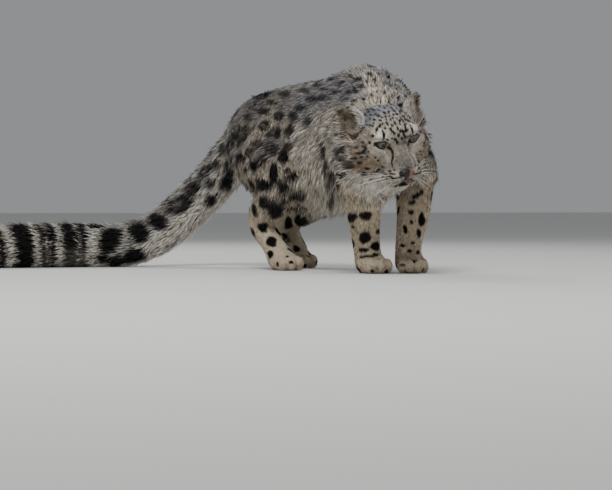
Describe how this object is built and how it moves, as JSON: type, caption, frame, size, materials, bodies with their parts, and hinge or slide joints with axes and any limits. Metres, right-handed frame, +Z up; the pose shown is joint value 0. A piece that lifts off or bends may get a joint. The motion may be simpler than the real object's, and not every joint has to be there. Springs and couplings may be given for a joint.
{
  "type": "snow leopard",
  "caption": "Still, life-size snow leopard in a low walk, head down and turned aside, with thick spotted winter coat and a long bushy tail laid along the floor.",
  "frame": {"origin": "middle of the bounding box, on the floor", "axes": "+Z up, the animal walks towards -Y, its left side is +X"},
  "size_m": [0.82, 1.1958, 0.4953],
  "materials": {
    "coat": "long smoky grey and cream fur with dark rosettes",
    "coat_tail": "very long grey and white fur with dark bands",
    "coat_leg": "short warm cream fur with black spots",
    "ear": "short soft fur",
    "eye": "wet, pale grey-green",
    "nose": "damp, black and pink",
    "tongue": "wet, pink"
  },
  "bodies": {
    "root": {"head": "coat", "ear_left": "ear", "ear_right": "ear", "eye_left": "eye", "eye_right": "eye", "nose": "nose", "tongue": "tongue", "neck": "coat", "torso": "coat", "tail_1": "coat_tail", "tail_2": "coat_tail", "tail_3": "coat_tail", "tail_4": "coat_tail", "thigh_left": "coat", "thigh_right": "coat", "shank_left": "coat", "shank_right": "coat", "hindpaw_left": "coat_leg", "hindpaw_right": "coat_leg", "foreleg_left": "coat_leg", "foreleg_right": "coat_leg", "forepaw_left": "coat_leg", "forepaw_right": "coat_leg"}
  },
  "joints": []
}
